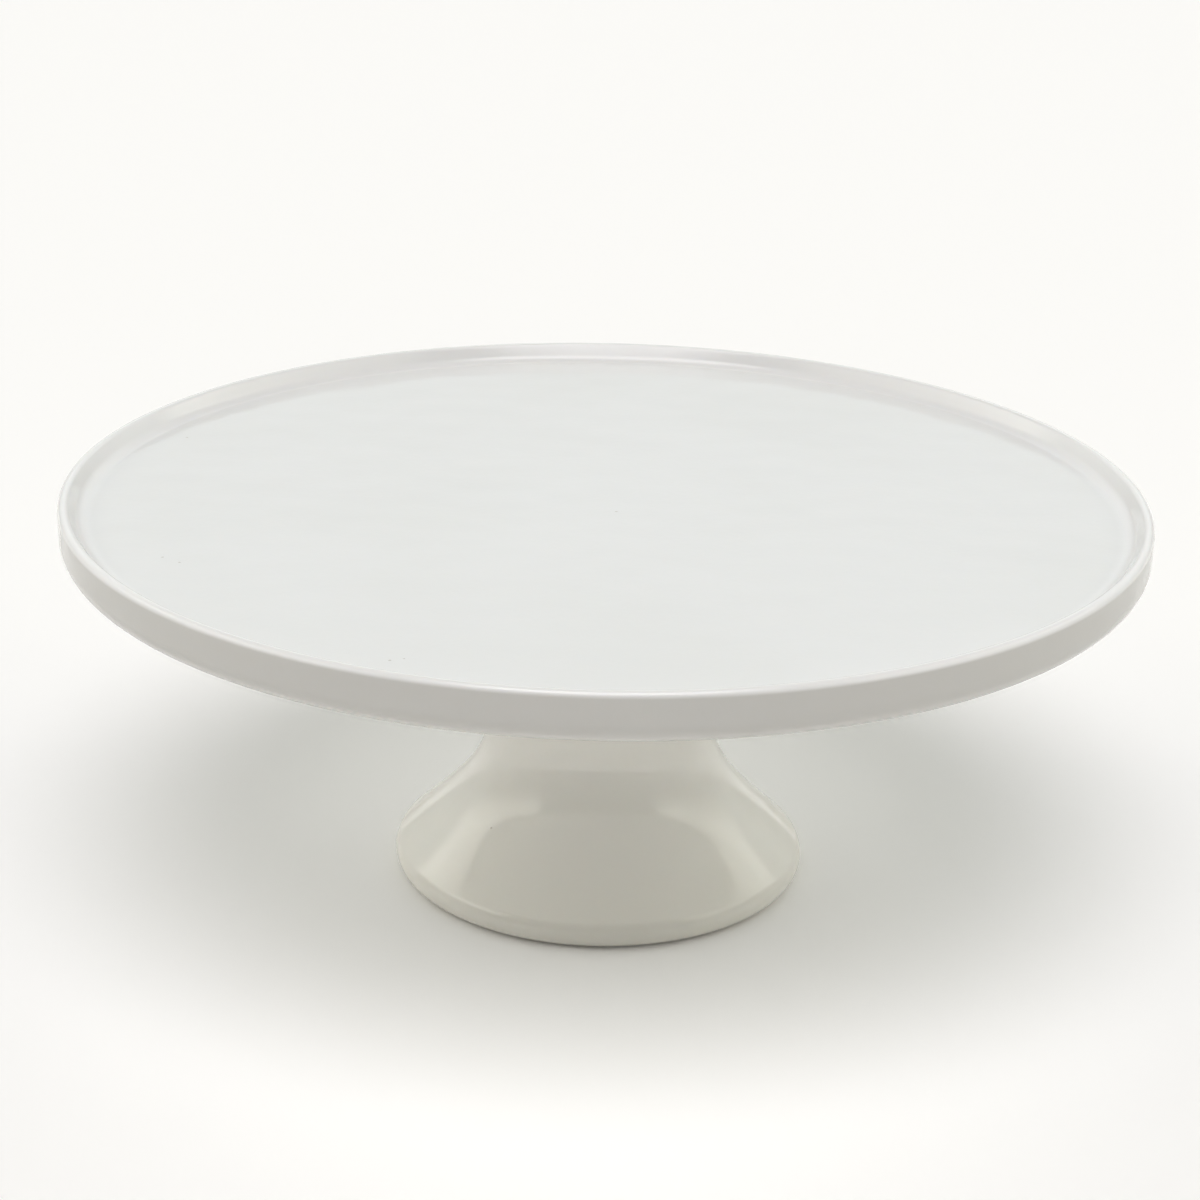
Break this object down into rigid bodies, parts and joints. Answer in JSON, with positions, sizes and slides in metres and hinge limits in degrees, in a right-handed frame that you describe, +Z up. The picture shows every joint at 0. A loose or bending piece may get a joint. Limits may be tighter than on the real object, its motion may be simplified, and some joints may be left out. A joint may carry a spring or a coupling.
{
  "type": "cake stand",
  "caption": "Round glazed porcelain plate with a low raised rim on a hollow trumpet foot, clamped together by a central screw from below.",
  "frame": {"origin": "centre of the foot's standing ring, on the table", "axes": "+Z up along the stand's axis, towards the plate; the stand is round, so X and Y are free"},
  "size_m": [0.3, 0.3, 0.115],
  "materials": {
    "plate_glaze": "gloss",
    "foot_glaze": "gloss",
    "brass": "satin",
    "cement": "matte",
    "gasket": "matte",
    "black_rubber": "matte",
    "zinc_steel": "satin"
  },
  "bodies": {
    "foot_body": {"foot": "foot_glaze", "neck_gasket": "gasket"},
    "plate_body": {"plate": "plate_glaze", "threaded_insert": "brass", "insert_cement": "cement"},
    "washer_body": {"rubber_washer": "black_rubber", "steel_washer": "zinc_steel"},
    "screw_body": {"fixing_screw": "zinc_steel"}
  },
  "joints": [
    {"name": "plate_lift", "type": "slide", "parent": "foot_body", "child": "plate_body", "axis": [0, 0, 1], "range_m": [0, 0.05]},
    {"name": "screw_travel", "type": "slide", "parent": "foot_body", "child": "washer_body", "axis": [0, 0, -1], "range_m": [0, 0.01]},
    {"name": "screw_turn", "type": "hinge", "parent": "washer_body", "child": "screw_body", "pos_m": [0, 0, 0.08], "axis": [0, 0, -1], "range_deg": [0, 3600]}
  ],
  "couplings": [
    {"joint": "screw_turn", "follows": "screw_travel", "rad_per_m": 6283.2}
  ]
}
